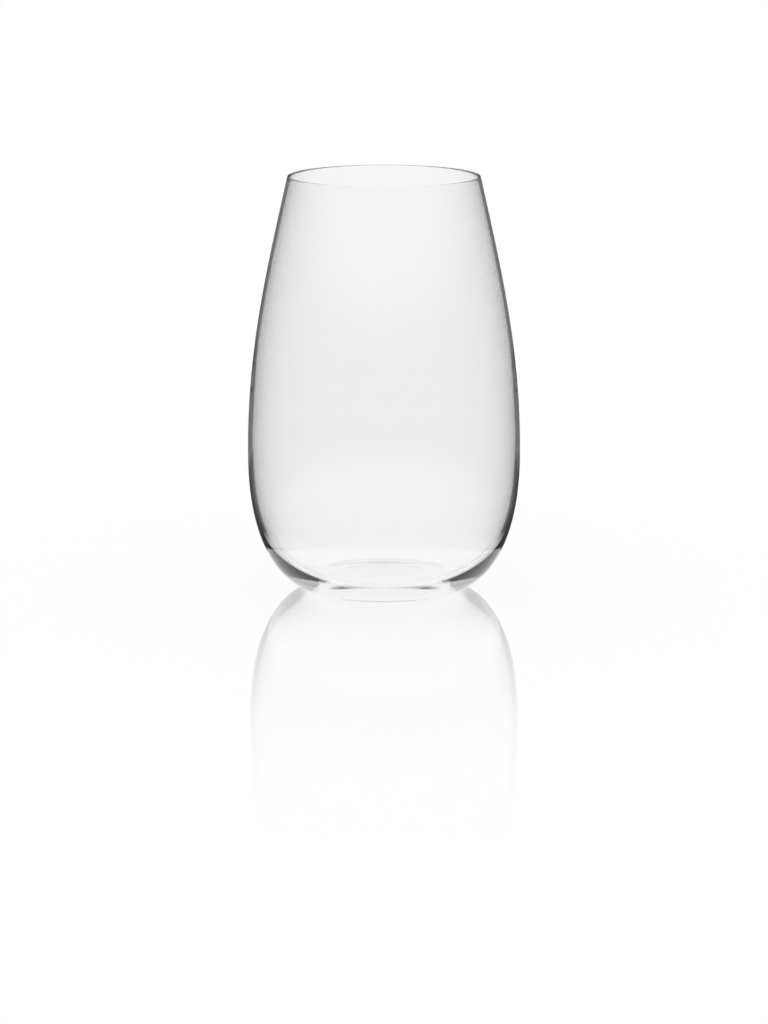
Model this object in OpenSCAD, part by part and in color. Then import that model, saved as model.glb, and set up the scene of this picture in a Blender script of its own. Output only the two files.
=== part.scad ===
// Juice tumbler of clear blown glass, in one piece: a full belly low down, a wall that narrows to the
// mouth, a rounded lip, and a round bowl over a flat foot. The axis is +Z and the foot stands on z = 0.

/* [Outside] */
// Height from the foot to the top of the lip
height = 122; // [105:1:140]
// Outside diameter at the belly, the widest level
belly_d = 80; // [68:1:92]
// Height of the belly's widest level above the foot
belly_z = 40; // [36:1:46]
// Outside diameter at the mouth, where the rounded lip begins
mouth_d = 56; // [46:1:66]
// Inward lean of the wall at the mouth, in degrees
mouth_lean = 13; // [6:1:20]
// Diameter of the flat foot
foot_d = 38; // [34:1:44]

/* [Outer curve] */
// Handle length above the belly: a longer one keeps the wall upright for longer
belly_rise = 29; // [20:0.5:36]
// Handle length below the mouth: a longer one keeps the wall at its lean for longer
mouth_fall = 31.5; // [22:0.5:38]
// Handle length below the belly: a longer one makes the heel fuller
belly_fall = 28.5; // [26:0.5:33]
// Handle length beside the foot: a longer one makes the heel flatter underneath
foot_spread = 10.5; // [8:0.5:14]

/* [Glass] */
// Thickness of the rounded lip
lip_t = 0.9; // [0.7:0.1:1.6]
// Thickness of the wall where the bowl's curve meets it
wall_t = 1.2; // [1:0.1:2.5]
// Thickness of the base at its middle
base_t = 2; // [1.6:0.1:5]

/* [Inner curve] */
// Share of the wall's curve, from the belly up, at which the bowl's curve meets the wall
bowl_top = 0.1; // [0.05:0.05:0.2]
// Share of the wall's curve at which the wall has thinned to the lip's thickness
thin_end = 0.45; // [0.3:0.05:1]
// Handle length down from the top of the bowl: a longer one makes the bowl fuller and its heel thinner
bowl_fall = 52.5; // [48:0.5:55]
// Handle length beside the axis, on the bowl's floor: a longer one makes the floor flatter
bowl_spread = 17; // [13:0.5:20]

/* [Hidden] */
$fn = 180;
// Straight steps that stand for each curve of the section
curve_steps = 32;
// Straight steps around the lip's half circle
lip_steps = 12;

belly_r = belly_d / 2;
foot_r = foot_d / 2;
mouth_r = mouth_d / 2;
lip_r = lip_t / 2;
// Directions at the mouth, in the section's plane: outwards, square to the wall, and up along the wall
mouth_out = [cos(mouth_lean), sin(mouth_lean)];
mouth_up = [-sin(mouth_lean), cos(mouth_lean)];
lip_centre = [mouth_r - lip_r * mouth_out.x, height - lip_r];
mouth_edge = lip_centre + lip_r * mouth_out;

// The outside as two cubic curves, from the foot to the belly and from the belly to the mouth. Each curve is
// [start, handle, handle, end], and each point is [radius, z]
heel = [[foot_r, 0], [foot_r + foot_spread, 0], [belly_r, belly_z - belly_fall], [belly_r, belly_z]];
wall = [[belly_r, belly_z], [belly_r, belly_z + belly_rise], mouth_edge - mouth_fall * mouth_up, mouth_edge];

// Point of a cubic curve at s, which runs from 0 to 1
function at(k, s) =
    pow(1 - s, 3) * k[0] + 3 * pow(1 - s, 2) * s * k[1] + 3 * (1 - s) * s * s * k[2] + pow(s, 3) * k[3];

// Unit vector of travel along the curve at s
function along(k, s) =
    let (a = pow(1 - s, 2) * (k[1] - k[0]) + 2 * (1 - s) * s * (k[2] - k[1]) + s * s * (k[3] - k[2]))
    a / norm(a);

// Smooth step from 0 to 1, level at both ends
function ease(x) = x * x * (3 - 2 * x);

// Thickness of the wall at s, from the top of the bowl up
function wall_at(s) = wall_t + (lip_t - wall_t) * ease(min((s - bowl_top) / (thin_end - bowl_top), 1));

// Point of the wall's inside, straight across the glass from the outside at s
function inside(s) =
    let (a = along(wall, s))
    at(wall, s) + wall_at(s) * [-a.y, a.x];

// The rest of the inside as one cubic curve, from the wall down to the axis
bowl_start = inside(bowl_top);
bowl = [bowl_start, bowl_start - bowl_fall * along(wall, bowl_top), [bowl_spread, base_t], [0, base_t]];

// Half of the tumbler's section, from the axis outwards and up, over the lip and down inside
module section() {
    up = [for (i = [0 : curve_steps]) i / curve_steps];
    down = [for (i = [0 : curve_steps]) 1 - i / curve_steps];
    over = [for (i = [1 : lip_steps - 1]) mouth_lean + 180 * i / lip_steps];
    polygon(concat(
        [[0, 0]],
        [for (s = up) at(heel, s)],
        [for (s = up) if (s > 0) at(wall, s)],
        [for (a = over) lip_centre + lip_r * [cos(a), sin(a)]],
        [for (s = down) inside(bowl_top + (1 - bowl_top) * s)],
        [for (s = up) if (s > 0) at(bowl, s)]
    ));
}

// The whole glass, turned about its axis
module glass_tumbler() {
    color("azure", 0.35)
        rotate_extrude()
            section();
}

glass_tumbler();
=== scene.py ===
"""The juice tumbler on a white table in a bright studio, as clear glass is usually photographed.

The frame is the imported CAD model. The glass is turned again here from the same curves, in finer steps,
because clear glass shows every facet. The table and the background are plain white. Rays that the glass
throws back see a dark room instead, which draws the glass's edges, as black cards beside a glass do. The
Light Path node tells these rays apart, so the edges are drawn wherever the camera stands.
"""

import math

import bpy
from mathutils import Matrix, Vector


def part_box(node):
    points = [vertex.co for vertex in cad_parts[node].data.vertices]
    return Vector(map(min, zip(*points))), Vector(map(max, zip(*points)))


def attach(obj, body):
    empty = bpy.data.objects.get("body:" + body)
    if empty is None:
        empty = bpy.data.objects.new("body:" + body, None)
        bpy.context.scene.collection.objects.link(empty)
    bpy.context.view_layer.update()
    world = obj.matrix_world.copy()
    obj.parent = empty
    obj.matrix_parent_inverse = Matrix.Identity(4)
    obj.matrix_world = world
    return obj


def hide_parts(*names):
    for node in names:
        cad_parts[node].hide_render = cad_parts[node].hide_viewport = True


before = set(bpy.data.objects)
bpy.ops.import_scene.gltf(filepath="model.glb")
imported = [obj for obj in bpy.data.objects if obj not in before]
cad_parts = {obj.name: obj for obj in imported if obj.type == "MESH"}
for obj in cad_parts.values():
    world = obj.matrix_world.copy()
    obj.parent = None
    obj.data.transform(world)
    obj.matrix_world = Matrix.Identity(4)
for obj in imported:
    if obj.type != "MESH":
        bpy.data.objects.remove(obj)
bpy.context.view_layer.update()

# Sizes of the glass in metres, as in the part's source. The height and the belly come from the frame
MM = 0.001
top_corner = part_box("glass_tumbler")[1]
HEIGHT = top_corner.z
BELLY_R = top_corner.x
BELLY_Z = 40 * MM
MOUTH_R = 28 * MM
MOUTH_LEAN = math.radians(13)
FOOT_R = 19 * MM
LIP_T = 0.9 * MM
WALL_T = 1.2 * MM
BASE_T = 2 * MM
# Shares of the wall's curve, from the belly up, at which the bowl's curve meets it and its thinning ends
BOWL_TOP = 0.1
THIN_END = 0.45
# Lengths of the curves' handles
BELLY_RISE = 29 * MM
MOUTH_FALL = 31.5 * MM
BELLY_FALL = 28.5 * MM
FOOT_SPREAD = 10.5 * MM
BOWL_FALL = 52.5 * MM
BOWL_SPREAD = 17 * MM
# Fineness of the mesh
CURVE_STEPS = 96
LIP_STEPS = 16
TURN_STEPS = 240

WHITE = (1, 1, 1, 1)
# Refraction of the glass, and its faint cool grey in its depth
GLASS_IOR = 1.54
GLASS_COLOUR = (0.89, 0.90, 0.905, 1)
GLASS_DENSITY = 40
# Faint waves of the blown surface: waves per metre across and along the glass, their detail and depth
WAVES_ACROSS = 60
WAVES_ALONG = 12
WAVE_DETAIL = 1
WAVE_DEPTH = 0.02 * MM

# Camera, in metres and degrees: the photograph's place and angle of view
CAMERA_BACK = 0.9619
CAMERA_UP = 0.2340
CAMERA_PITCH = 12.405
CAMERA_LENS_MM = 117.2
CAMERA_SENSOR_MM = 36

# Table: a disc that reaches past every view, just under the foot, with a clear film between the two
TABLE_R = 10
TABLE_STEPS = 128
TABLE_GAP = 0.1 * MM
FILM_GAP = 0.05 * MM
# Share of the table's light that the glass can shade, and the radii over which that share fades out
SHADE = 0.15
SHADE_NEAR = 60 * MM
SHADE_FAR = 200 * MM
# Painted shade on the table, seen by rays that the glass throws back: a painted soft shadow where the heel
# is close above it, and a painted dark contact shadow along the edge of the foot, for rays of one
# reflection and for rays reflected often. Each is the ring's radius, its reach to both sides and its
# darkest brightness
PAINTED_HEEL_SHADE = (24 * MM, 8 * MM, 0.9)
PAINTED_FOOT_SHADOW = (19.4 * MM, 0.7 * MM, 0.35)
PAINTED_EDGE_SHADOW = (18.3 * MM, 0.8 * MM, 0.05)
# Polish of the table: its share of mirror light, and the radii where it is full and where it has faded out
POLISH = 0.45
POLISH_ROUGHNESS = 0.03
POLISH_FULL = 27 * MM
POLISH_FAR = 260 * MM
# Half sizes of the white area that the outside of the glass mirrors, along X and Y, and the shares of them
# over which it ends: sharply at the sides, and softly to both sides of its edge in front and behind
MIRRORED_X = 50 * MM
MIRRORED_Y = 63 * MM
MIRRORED_EDGE = 0.02
MIRRORED_SOFT = 0.18
# Radii over which the white area ends for rays that leave the glass after reflections inside it
INNER_NEAR = 45 * MM
INNER_FAR = 65 * MM
# For rays that the table's polish turned upwards: the radii over which the white area around the foot ends,
# those where a pale ring begins, is full, starts to fade and ends, and the ring's share of white
WHITE_NEAR = 22 * MM
WHITE_FAR = 28 * MM
PALE_BEGIN = 30 * MM
PALE_FULL = 100 * MM
PALE_FADE = 130 * MM
PALE_END = 220 * MM
PALE = 0.75

# Brightness of the dark room low down, in general and for rays of two or more reflections
ROOM_LOW = 0.1
MANY_LOW = 0.4
# Brightness of its ceiling for rays off the outside of the glass, from within its wall and across its bowl
ROOM_HIGH = 1.0
WITHIN_HIGH = 0.6
CROSSED_HIGH = 0.6
# Heights on the unit sphere between which low becomes overhead, in general and for rays that cross the bowl
LOW_END = 0.1
HIGH_START = 0.35
CROSSED_LOW_END = -0.15
CROSSED_HIGH_START = 0.1

# The Light Path node's counts are whole numbers, and two of them are the same within this difference
SAME_COUNT = 0.1
# Most clear sheets, film or open table, between the glass and the table or the room above it, and between
# the glass and the room below the table. A ray that the table's polish turned upwards has passed more
SHEETS_ABOVE = 1
SHEETS_BELOW = 2
# Faces of the glass that a ray from within the wall has passed. One that crossed the bowl has passed more
WALL_FACES = 2
# Reflections past which a ray counts as led along the wall and as reflected often
LED_ALONG = 2
OFTEN = 4
# Reflections past which a ray that the glass leads along sees black, and past which it has been led down
# the whole wall and sees white, and the most that are followed
LED_BLACK = 14
LED_WHITE = 80
REFLECTIONS = 300
# Most passes of one ray through faces of the glass
PASSES = 40


def cubic(k, s):
    """Point of the cubic curve with the points k, as (radius, z), at s from 0 to 1."""
    a, b, c, d = (1 - s) ** 3, 3 * (1 - s) ** 2 * s, 3 * (1 - s) * s * s, s ** 3
    return [a * p + b * q + c * u + d * v for p, q, u, v in zip(*k)]


def along(k, s):
    """Unit vector of travel along the curve at s."""
    a, b, c = (1 - s) ** 2, 2 * (1 - s) * s, s * s
    x, z = [a * (q - p) + b * (u - q) + c * (v - u) for p, q, u, v in zip(*k)]
    return x / math.hypot(x, z), z / math.hypot(x, z)


def ease(x):
    """Smooth step from 0 to 1, level at both ends."""
    return x * x * (3 - 2 * x)


def inside(wall, s):
    """Point of the wall's inside, straight across the glass from the outside at s."""
    thinned = min((s - BOWL_TOP) / (THIN_END - BOWL_TOP), 1)
    thickness = WALL_T + (LIP_T - WALL_T) * ease(thinned)
    r, z = cubic(wall, s)
    dr, dz = along(wall, s)
    return r - thickness * dz, z + thickness * dr


def section():
    """Half of the glass's section as (radius, z), from the axis outwards and up, over the lip and down."""
    lip_r = LIP_T / 2
    out = (math.cos(MOUTH_LEAN), math.sin(MOUTH_LEAN))
    up = (-out[1], out[0])
    centre = (MOUTH_R - lip_r * out[0], HEIGHT - lip_r)
    edge = [c + lip_r * o for c, o in zip(centre, out)]
    below = [e - MOUTH_FALL * u for e, u in zip(edge, up)]
    heel = [(FOOT_R, 0), (FOOT_R + FOOT_SPREAD, 0), (BELLY_R, BELLY_Z - BELLY_FALL), (BELLY_R, BELLY_Z)]
    wall = [(BELLY_R, BELLY_Z), (BELLY_R, BELLY_Z + BELLY_RISE), below, edge]
    top = inside(wall, BOWL_TOP)
    under = [t - BOWL_FALL * d for t, d in zip(top, along(wall, BOWL_TOP))]
    bowl = [top, under, (BOWL_SPREAD, BASE_T), (0, BASE_T)]

    shares = [i / CURVE_STEPS for i in range(CURVE_STEPS + 1)]
    points = [(0, 0)]
    points += [cubic(heel, s) for s in shares]
    points += [cubic(wall, s) for s in shares[1:]]
    for i in range(1, LIP_STEPS):
        a = MOUTH_LEAN + math.pi * i / LIP_STEPS
        points.append((centre[0] + lip_r * math.cos(a), centre[1] + lip_r * math.sin(a)))
    points += [inside(wall, BOWL_TOP + (1 - BOWL_TOP) * s) for s in reversed(shares)]
    points += [cubic(bowl, s) for s in shares[1:]]
    return points


def turned(name, points):
    """A closed body of revolution about Z. The first and last points lie on the axis."""
    verts = []
    rings = []
    for r, z in points:
        count = TURN_STEPS if r > 0 else 1
        rings.append(range(len(verts), len(verts) + count))
        for i in range(count):
            a = 2 * math.pi * i / TURN_STEPS
            verts.append((r * math.cos(a), r * math.sin(a), z))
    faces = []
    for lower, upper in zip(rings, rings[1:]):
        for i in range(TURN_STEPS):
            j = (i + 1) % TURN_STEPS
            if len(lower) == 1:
                faces.append((lower[0], upper[j], upper[i]))
            elif len(upper) == 1:
                faces.append((lower[i], lower[j], upper[0]))
            else:
                faces.append((lower[i], lower[j], upper[j], upper[i]))
    mesh = bpy.data.meshes.new(name)
    mesh.from_pydata(verts, [], faces)
    mesh.shade_smooth()
    piece = bpy.data.objects.new(name, mesh)
    bpy.context.scene.collection.objects.link(piece)
    return piece


class Nodes:
    """Adds nodes to an emptied node tree. A value is a constant or the output of another node."""

    def __init__(self, owner):
        owner.use_nodes = True
        self.tree = owner.node_tree
        self.tree.nodes.clear()

    def add(self, kind, **values):
        node = self.tree.nodes.new("ShaderNode" + kind)
        for name, value in values.items():
            self.put(node.inputs[name.replace("_", " ")], value)
        return node

    def put(self, socket, value):
        if isinstance(value, bpy.types.NodeSocket):
            self.tree.links.new(value, socket)
        else:
            socket.default_value = value

    def math(self, operation, *values):
        node = self.add("Math")
        node.operation = operation
        for socket, value in zip(node.inputs, values):
            self.put(socket, value)
        return node.outputs[0]

    def ramp(self, value, start, end, first=0.0, last=1.0, kind="SMOOTHSTEP"):
        """Change from first to last while value goes from start to end, smooth unless kind is LINEAR."""
        node = self.add("MapRange", Value=value, From_Min=start, From_Max=end, To_Min=first, To_Max=last)
        node.interpolation_type = kind
        return node.outputs[0]

    def choose(self, share, if_not, if_so):
        """Number between if_not, at share 0, and if_so, at share 1."""
        node = self.add("Mix", Factor=share, A=if_not, B=if_so)
        return node.outputs[0]

    def blend(self, share, first, second):
        """Shader between first, at share 0, and second, at share 1."""
        node = self.add("MixShader")
        for socket, value in zip(node.inputs, (share, first, second)):
            self.put(socket, value)
        return node.outputs[0]


class Ray:
    """What the Light Path node tells of a ray that ends on the table, or in the room above or below it.

    Each value is 1 for yes and 0 for no. A ray that has passed more clear sheets than the given number was
    turned upwards by the table's polish, and that turn isn't counted as a reflection.
    """

    def __init__(self, nodes, sheets=SHEETS_ABOVE):
        self.nodes = nodes
        path = nodes.add("LightPath").outputs
        self.from_glass = nodes.math("MAXIMUM", path["Is Transmission Ray"], path["Is Glossy Ray"])
        self.by_polish = nodes.math("GREATER_THAN", path["Transparent Depth"], sheets)

        # A ray off the outside of the glass has passed no face of it
        passes = path["Transmission Depth"]
        self.outside = nodes.math("LESS_THAN", passes, 1)
        self.within = nodes.math("COMPARE", passes, WALL_FACES, SAME_COUNT)
        self.crossed = nodes.math("GREATER_THAN", passes, WALL_FACES)

        reflections = nodes.math("SUBTRACT", path["Glossy Depth"], self.by_polish)
        self.once = nodes.math("LESS_THAN", reflections, 2)
        self.many = nodes.math("GREATER_THAN", reflections, 1)
        self.often = nodes.math("GREATER_THAN", reflections, OFTEN)
        self.led = nodes.math("GREATER_THAN", reflections, LED_BLACK)
        self.led_far = nodes.math("GREATER_THAN", reflections, LED_WHITE)

        # The glass throws back what it reflects, apart from rays that cross the bowl and keep their way:
        # after an even number of reflections, when led along the wall, and when the polish turned them
        straight = nodes.math("LESS_THAN", reflections, 1)
        keeps = nodes.math("SUBTRACT", 1.0, nodes.math("MODULO", reflections, 2.0))
        keeps = nodes.math("MAXIMUM", keeps, nodes.math("GREATER_THAN", reflections, LED_ALONG))
        keeps = nodes.math("MAXIMUM", keeps, self.by_polish)
        self.onwards = nodes.math("MAXIMUM", straight, nodes.math("MULTIPLY", self.crossed, keeps))
        self.thrown_back = nodes.math("SUBTRACT", 1.0, self.onwards)

    def brightness(self, behind):
        """White for a ray that goes onwards, behind for one thrown back, and black or white for one led."""
        seen = self.nodes.choose(self.thrown_back, 1.0, behind)
        return self.nodes.choose(self.led, seen, self.led_far)


def clear_glass():
    """Colourless glass with faint waves on its surface and a trace of grey in its depth."""
    material = bpy.data.materials.new("clear_glass")
    nodes = Nodes(material)
    stretch = nodes.add("Mapping", Vector=nodes.add("TexCoord").outputs["Object"],
                        Scale=(WAVES_ACROSS, WAVES_ACROSS, WAVES_ALONG))
    waves = nodes.add("TexNoise", Vector=stretch.outputs[0], Scale=1.0, Detail=WAVE_DETAIL)
    bump = nodes.add("Bump", Height=waves.outputs[0], Distance=WAVE_DEPTH)
    glass = nodes.add("BsdfPrincipled", Base_Color=WHITE, Roughness=0.0, IOR=GLASS_IOR,
                      Transmission_Weight=1.0, Normal=bump.outputs[0])
    body = nodes.add("VolumeAbsorption", Color=GLASS_COLOUR, Density=GLASS_DENSITY)
    nodes.add("OutputMaterial", Surface=glass.outputs[0], Volume=body.outputs[0])
    return material


def painted_contact_shade(nodes, radius, ray):
    """Painted shade: darker rings on the table around the foot, for rays that the glass throws back."""
    brightness = 1.0
    rings = ((PAINTED_HEEL_SHADE, 1.0), (PAINTED_FOOT_SHADOW, ray.once), (PAINTED_EDGE_SHADOW, ray.often))
    for (ring_r, reach, darkest), shown in rings:
        from_ring = nodes.math("ABSOLUTE", nodes.math("SUBTRACT", radius, ring_r))
        ring = nodes.choose(shown, 1.0, nodes.ramp(from_ring, 0.0, reach, darkest, 1.0))
        brightness = nodes.math("MULTIPLY", brightness, ring)
    return brightness


def past_mirrored(nodes, place):
    """0 on the white area that the outside of the glass mirrors, and 1 past its edge."""
    xyz = nodes.add("SeparateXYZ", Vector=place).outputs
    across = nodes.math("DIVIDE", xyz["X"], MIRRORED_X)
    deep = nodes.math("DIVIDE", xyz["Y"], MIRRORED_Y)
    across_2 = nodes.math("MULTIPLY", across, across)
    deep_2 = nodes.math("MULTIPLY", deep, deep)
    reach_2 = nodes.math("ADD", across_2, deep_2)
    soft = nodes.math("MULTIPLY", nodes.math("DIVIDE", deep_2, reach_2), MIRRORED_SOFT)
    start = nodes.math("SUBTRACT", 1.0, soft)
    end = nodes.math("ADD", 1.0 + MIRRORED_EDGE, soft)
    return nodes.ramp(nodes.math("SQRT", reach_2), start, end)


def past_white(nodes, radius):
    """0 on the white area as the table's polish shows it, and past it up to 1, less on the pale ring."""
    rising = nodes.ramp(radius, PALE_BEGIN, PALE_FULL, 0.0, PALE)
    falling = nodes.ramp(radius, PALE_FADE, PALE_END, 1.0, 0.0)
    pale = nodes.math("MULTIPLY", rising, falling)
    return nodes.math("SUBTRACT", nodes.ramp(radius, WHITE_NEAR, WHITE_FAR), pale)


def white_table():
    """White table with a little polish. Rays that the glass throws back pass it outside its white area."""
    material = bpy.data.materials.new("white_table")
    nodes = Nodes(material)
    place = nodes.add("TexCoord").outputs["Object"]
    length = nodes.add("VectorMath")
    length.operation = "LENGTH"
    nodes.put(length.inputs[0], place)
    radius = length.outputs["Value"]
    ray = Ray(nodes)

    # Rays from the glass or the polish see even white. For the others the glass can shade a share of it
    lit = nodes.ramp(radius, SHADE_NEAR, SHADE_FAR, 1 - SHADE, 1.0)
    even = nodes.math("MAXIMUM", ray.from_glass, lit)
    # The table's glow carries painted shade: darker rings around the foot, seen in the glass's reflections
    white = nodes.add("Emission", Strength=ray.brightness(painted_contact_shade(nodes, radius, ray)))
    shaded = nodes.add("BsdfDiffuse", Color=WHITE)
    surface = nodes.blend(even, shaded.outputs[0], white.outputs[0])

    # Rays that the glass throws back see no polish
    mirror = nodes.add("BsdfGlossy", Color=WHITE, Roughness=POLISH_ROUGHNESS)
    fading = nodes.ramp(radius, FOOT_R, POLISH_FAR, POLISH, 0.0, "LINEAR")
    polish = nodes.math("MULTIPLY", nodes.ramp(radius, FOOT_R, POLISH_FULL), fading)
    polish = nodes.math("MULTIPLY", polish, ray.onwards)
    surface = nodes.blend(polish, surface, mirror.outputs[0])

    past_inner = nodes.ramp(radius, INNER_NEAR, INNER_FAR)
    past = nodes.choose(ray.outside, past_inner, past_mirrored(nodes, place))
    past = nodes.choose(ray.by_polish, past, past_white(nodes, radius))
    open_table = nodes.math("MULTIPLY", ray.thrown_back, past)
    surface = nodes.blend(open_table, surface, nodes.add("BsdfTransparent").outputs[0])
    nodes.add("OutputMaterial", Surface=surface)
    return material


def clear_film():
    """Clear sheet over the table, which only adds to the count of sheets that a ray has passed."""
    material = bpy.data.materials.new("clear_film")
    nodes = Nodes(material)
    nodes.add("OutputMaterial", Surface=nodes.add("BsdfTransparent").outputs[0])
    return material


def studio():
    """White background. Rays that the glass throws back see a dark room with a bright ceiling."""
    world = bpy.data.worlds.new("studio")
    nodes = Nodes(world)
    height = nodes.add("SeparateXYZ", Vector=nodes.add("TexCoord").outputs["Generated"]).outputs["Z"]
    above = nodes.math("GREATER_THAN", height, 0.0)
    ray = Ray(nodes, nodes.choose(above, SHEETS_BELOW, SHEETS_ABOVE))
    low_end = nodes.choose(ray.crossed, LOW_END, CROSSED_LOW_END)
    high_start = nodes.choose(ray.crossed, HIGH_START, CROSSED_HIGH_START)
    overhead = nodes.ramp(height, low_end, high_start)
    dark_low = nodes.choose(ray.many, ROOM_LOW, MANY_LOW)
    dark_high = nodes.choose(ray.within, ROOM_HIGH, WITHIN_HIGH)
    dark_high = nodes.choose(ray.crossed, dark_high, CROSSED_HIGH)
    dark = nodes.choose(overhead, dark_low, dark_high)
    light = nodes.add("Background", Color=WHITE, Strength=ray.brightness(dark))
    nodes.add("OutputWorld", Surface=light.outputs[0])
    world.cycles.sampling_method = "NONE"
    bpy.context.scene.world = world


def disc(name, z, material):
    """A round sheet of the table's size."""
    corners = [2 * math.pi * i / TABLE_STEPS for i in range(TABLE_STEPS)]
    mesh = bpy.data.meshes.new(name)
    verts = [(TABLE_R * math.cos(a), TABLE_R * math.sin(a), 0) for a in corners]
    mesh.from_pydata(verts, [], [range(TABLE_STEPS)])
    mesh.materials.append(material)
    piece = bpy.data.objects.new(name, mesh)
    piece.location.z = z
    bpy.context.scene.collection.objects.link(piece)


def camera():
    """The photograph's camera, which looks along +Y and a little down."""
    lens = bpy.data.cameras.new("camera")
    lens.sensor_width = CAMERA_SENSOR_MM
    lens.lens = CAMERA_LENS_MM
    piece = bpy.data.objects.new("camera", lens)
    piece.location = (0, -CAMERA_BACK, CAMERA_UP)
    piece.rotation_euler = (math.radians(90 - CAMERA_PITCH), 0, 0)
    bpy.context.scene.collection.objects.link(piece)
    bpy.context.scene.camera = piece


glass = turned("tumbler", section())
glass.data.materials.append(clear_glass())
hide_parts("glass_tumbler")
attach(glass, "root")

disc("table", -TABLE_GAP, white_table())
disc("film", -FILM_GAP, clear_film())
studio()
camera()

scene = bpy.context.scene
scene.view_settings.view_transform = "Standard"
scene.cycles.max_bounces = REFLECTIONS + PASSES
scene.cycles.transmission_bounces = PASSES
scene.cycles.glossy_bounces = REFLECTIONS
